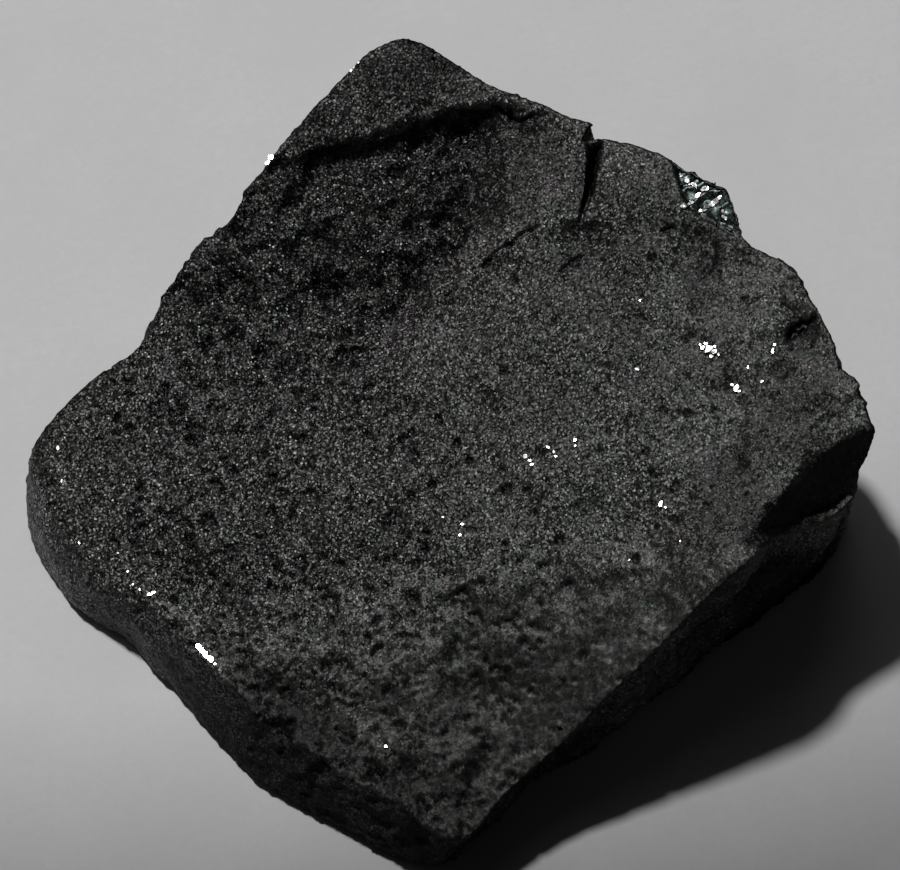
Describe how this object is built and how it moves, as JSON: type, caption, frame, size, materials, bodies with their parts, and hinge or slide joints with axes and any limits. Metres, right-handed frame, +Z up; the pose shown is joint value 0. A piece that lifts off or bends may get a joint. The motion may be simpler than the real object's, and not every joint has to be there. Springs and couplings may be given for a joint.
{
  "type": "grey selenium specimen",
  "caption": "Broken lump of dark grey selenium with a sloping, finely granular fracture face, a hackly scoop, a ledge and a crack, resting on a flat underside.",
  "frame": {"origin": "centre of the fragment's box, on the surface that it rests on", "axes": "+Z up out of the flat underside, +Y towards the high back edge of the sloping face, +X towards its right corner"},
  "size_m": [0.0304, 0.0286, 0.0119],
  "materials": {
    "grey_selenium": "dark grey, finely granular fracture with a weak metallic glitter; smoother cast skin on one side"
  },
  "bodies": {
    "root": {"selenium_fragment": "grey_selenium"}
  },
  "joints": []
}
